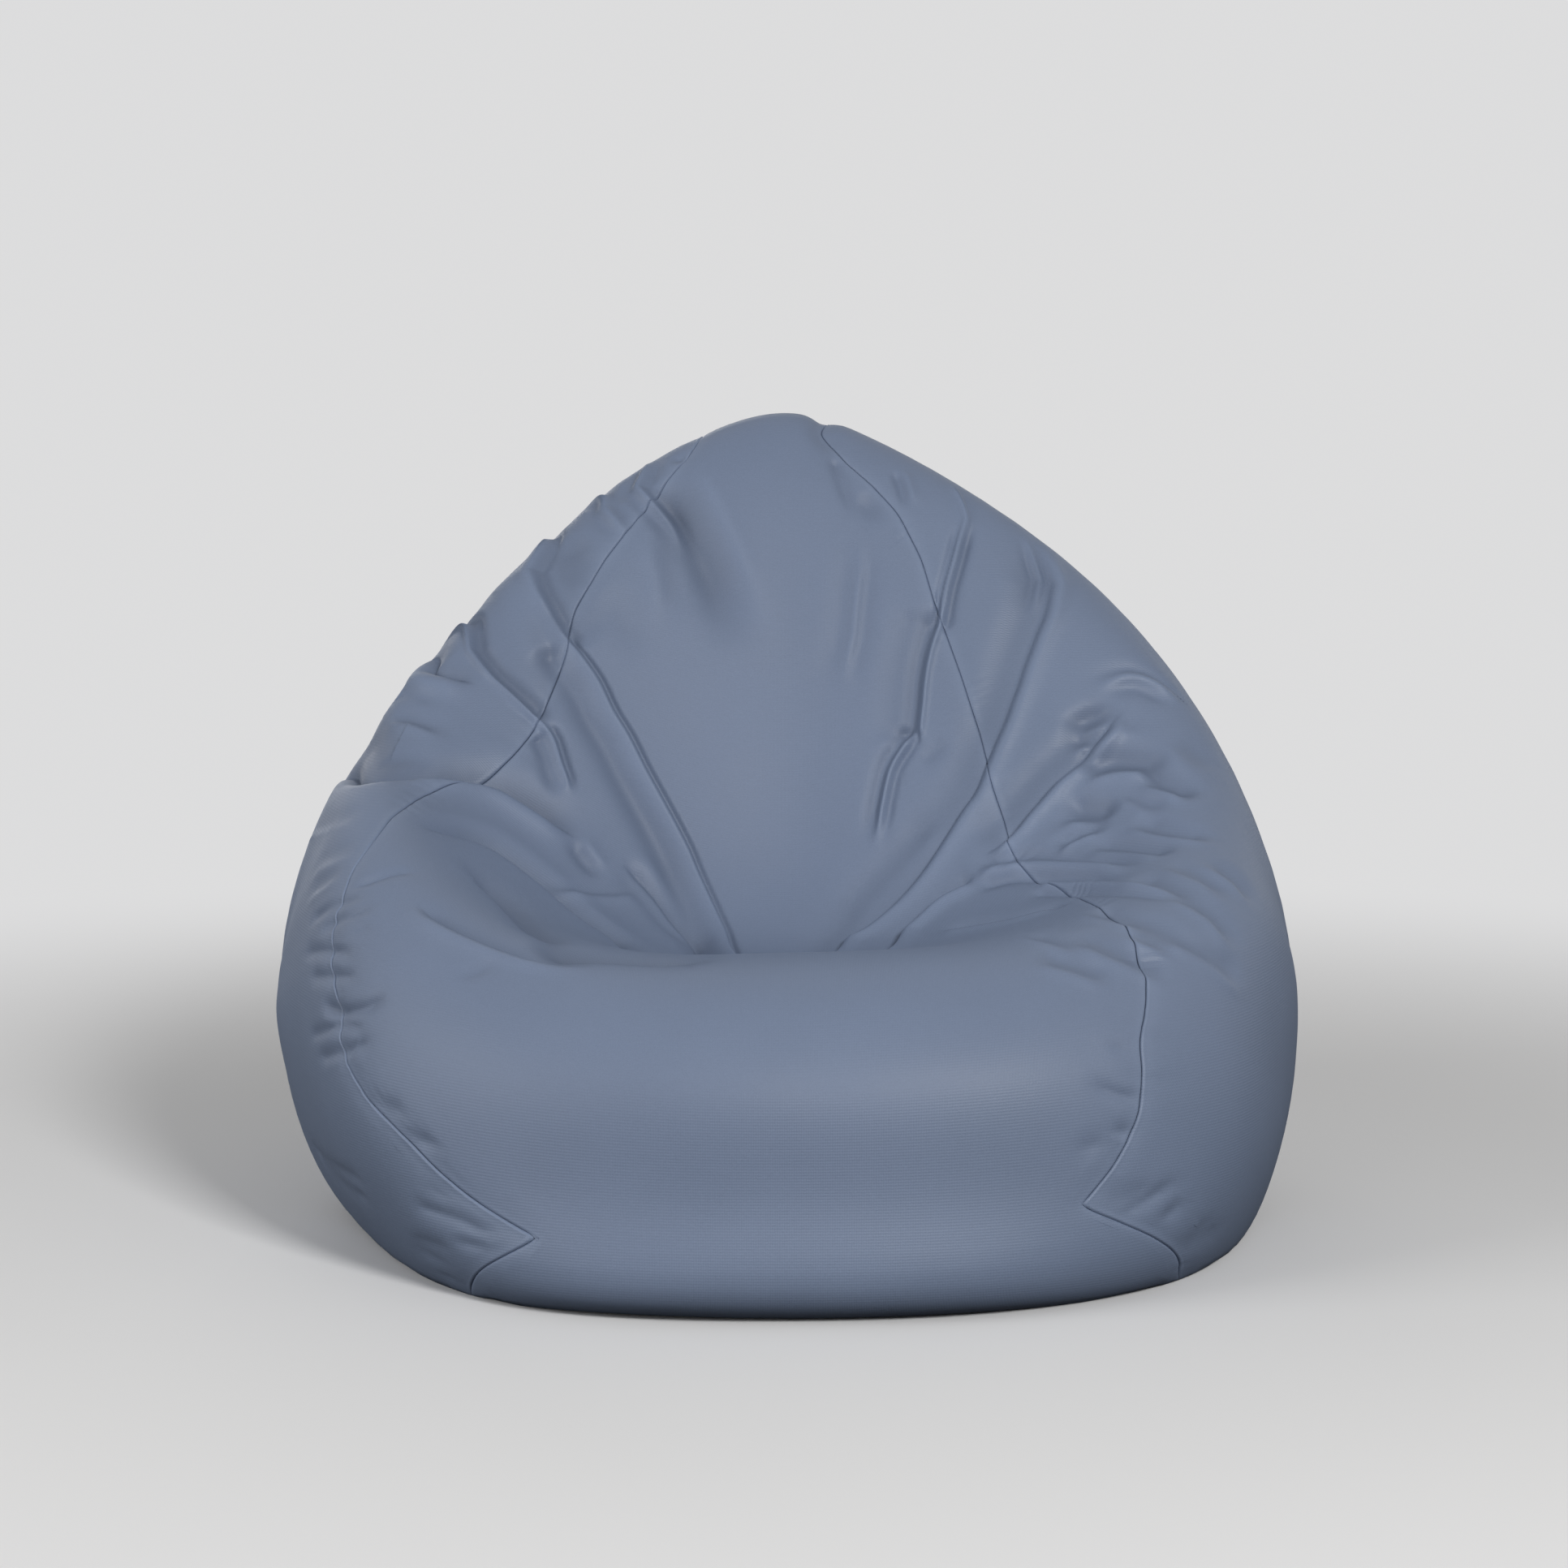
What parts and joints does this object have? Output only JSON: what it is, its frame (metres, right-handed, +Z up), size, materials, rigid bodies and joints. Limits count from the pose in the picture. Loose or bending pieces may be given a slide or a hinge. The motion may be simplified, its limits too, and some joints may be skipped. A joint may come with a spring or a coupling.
{
  "type": "bean bag chair",
  "caption": "Floor seat with a high back and rolled arms: a sewn blue-grey cover with a rear zipper round a liner full of loose beads.",
  "frame": {"origin": "on the floor under the middle of the bag, on the flat of the base panel", "axes": "+Z up, the front of the seat faces -Y, +X to the right seen from the front"},
  "size_m": [1.032, 0.9933, 0.8004],
  "materials": {
    "cover": "satin coated cloth",
    "base_cloth": "matt heavy cloth",
    "zipper_tape": "matt woven tape",
    "zipper_coil": "satin",
    "zipper_metal": "satin",
    "liner": "matt thin cloth",
    "beads": "matt foam beads"
  },
  "bodies": {
    "bag": {"centre_panel": "cover", "left_side_panel": "cover", "right_side_panel": "cover", "rear_upper_panel": "cover", "rear_lower_panel": "cover", "base_panel": "base_cloth", "inner_liner": "liner", "liner_closing_strip": "liner", "bead_fill": "beads", "zipper_tape_upper": "zipper_tape", "zipper_tape_lower": "zipper_tape", "zipper_coil_upper": "zipper_coil", "zipper_coil_lower": "zipper_coil", "zipper_stop_left": "zipper_metal", "zipper_stop_right": "zipper_metal"},
    "slider": {"zipper_slider": "zipper_metal"},
    "pull": {"zipper_pull": "zipper_metal"}
  },
  "joints": [
    {"name": "zipper_travel", "type": "hinge", "parent": "bag", "child": "slider", "pos_m": [0, -0.255, 0.16], "axis": [0, 0, -1], "range_deg": [0, 37]},
    {"name": "pull_swing", "type": "hinge", "parent": "slider", "child": "pull", "pos_m": [-0.23955, 0.46014, 0.16], "axis": [0, 0, 1], "range_deg": [0, 175]}
  ]
}
